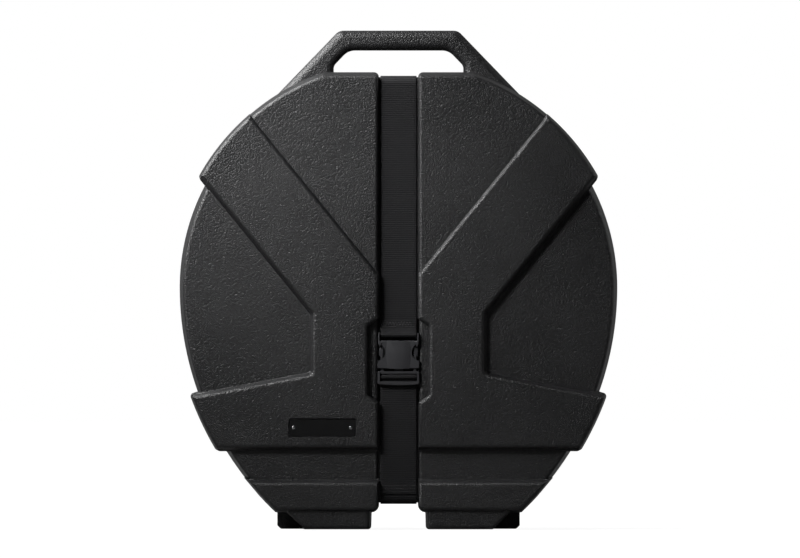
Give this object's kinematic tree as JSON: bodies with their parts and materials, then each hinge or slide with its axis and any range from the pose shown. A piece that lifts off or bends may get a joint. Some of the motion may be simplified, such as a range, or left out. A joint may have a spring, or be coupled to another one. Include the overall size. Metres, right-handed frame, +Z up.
{
  "type": "cymbal case",
  "caption": "Moulded free-standing cymbal case with a lift-off lid, wrap-around web strap and buckle, carrying handle and padded bay with a centre post.",
  "frame": {"origin": "middle of the case's footprint at the level of the feet, on the plane where the shells meet", "axes": "+Z up, -Y out of the lid, +X to the right when facing the lid"},
  "size_m": [0.618, 0.172, 0.704],
  "materials": {
    "shell": "rotomoulded polyethylene, pebbled",
    "web": "woven polypropylene web",
    "buckle": "satin moulded acetal",
    "badge": "black enamel, bare",
    "rivet": "plated steel",
    "foam": "closed-cell foam",
    "nylon": "moulded nylon",
    "steel": "zinc-plated steel",
    "felt": "pressed wool felt"
  },
  "bodies": {
    "rear": {"rear_shell": "shell", "strap_rear_run": "web", "strap_rivet_upper": "rivet", "strap_rivet_lower": "rivet", "strap_rivet_washer_upper": "rivet", "strap_rivet_washer_lower": "rivet", "rear_foam_pad": "foam", "post_base": "nylon", "post_screw_1": "steel", "post_screw_2": "steel", "post_screw_3": "steel", "centre_post": "steel", "felt_washer_lower": "felt"},
    "lid": {"front_shell": "shell", "lid_foam_pad": "foam", "badge_plate": "badge", "badge_rivet_left": "rivet", "badge_rivet_right": "rivet", "strap_lid_top_run": "web", "strap_lid_bottom_run": "web"},
    "upper_strap": {"strap_upper_leg": "web"},
    "buckle_socket": {"buckle_female": "buckle"},
    "lower_strap": {"strap_lower_leg": "web"},
    "buckle_plug": {"buckle_male": "buckle"},
    "clamp": {"felt_washer_upper": "felt", "cup_washer": "steel"},
    "nut": {"wing_nut": "nylon"}
  },
  "joints": [
    {"name": "lid_slide", "type": "slide", "parent": "rear", "child": "lid", "axis": [0, -1, 0], "range_m": [0, 0.15]},
    {"name": "strap_upper_swing", "type": "hinge", "parent": "lid", "child": "upper_strap", "pos_m": [0, -0.0729, 0.6265], "axis": [-1, 0, 0], "range_deg": [0, 43]},
    {"name": "buckle_socket_tilt", "type": "hinge", "parent": "upper_strap", "child": "buckle_socket", "pos_m": [0, -0.075, 0.2745], "axis": [1, 0, 0], "range_deg": [0, 43]},
    {"name": "strap_lower_swing", "type": "hinge", "parent": "lid", "child": "lower_strap", "pos_m": [0, -0.0729, 0.049], "axis": [1, 0, 0], "range_deg": [0, 94]},
    {"name": "buckle_plug_tilt", "type": "hinge", "parent": "lower_strap", "child": "buckle_plug", "pos_m": [0, -0.0754, 0.2159], "axis": [-1, 0, 0], "range_deg": [0, 94]},
    {"name": "clamp_slide", "type": "slide", "parent": "rear", "child": "clamp", "axis": [0, -1, 0], "range_m": [0, 0.009]},
    {"name": "wing_nut_turn", "type": "hinge", "parent": "clamp", "child": "nut", "pos_m": [0, 0.02, 0.341], "axis": [0, -1, 0], "range_deg": [0, 1440]}
  ],
  "couplings": [
    {"joint": "buckle_socket_tilt", "follows": "strap_upper_swing", "ratio": 1},
    {"joint": "strap_lower_swing", "follows": "strap_upper_swing", "ratio": 2.18},
    {"joint": "buckle_plug_tilt", "follows": "strap_upper_swing", "ratio": 2.18},
    {"joint": "clamp_slide", "follows": "wing_nut_turn", "m_per_rad": 0.00031831}
  ]
}
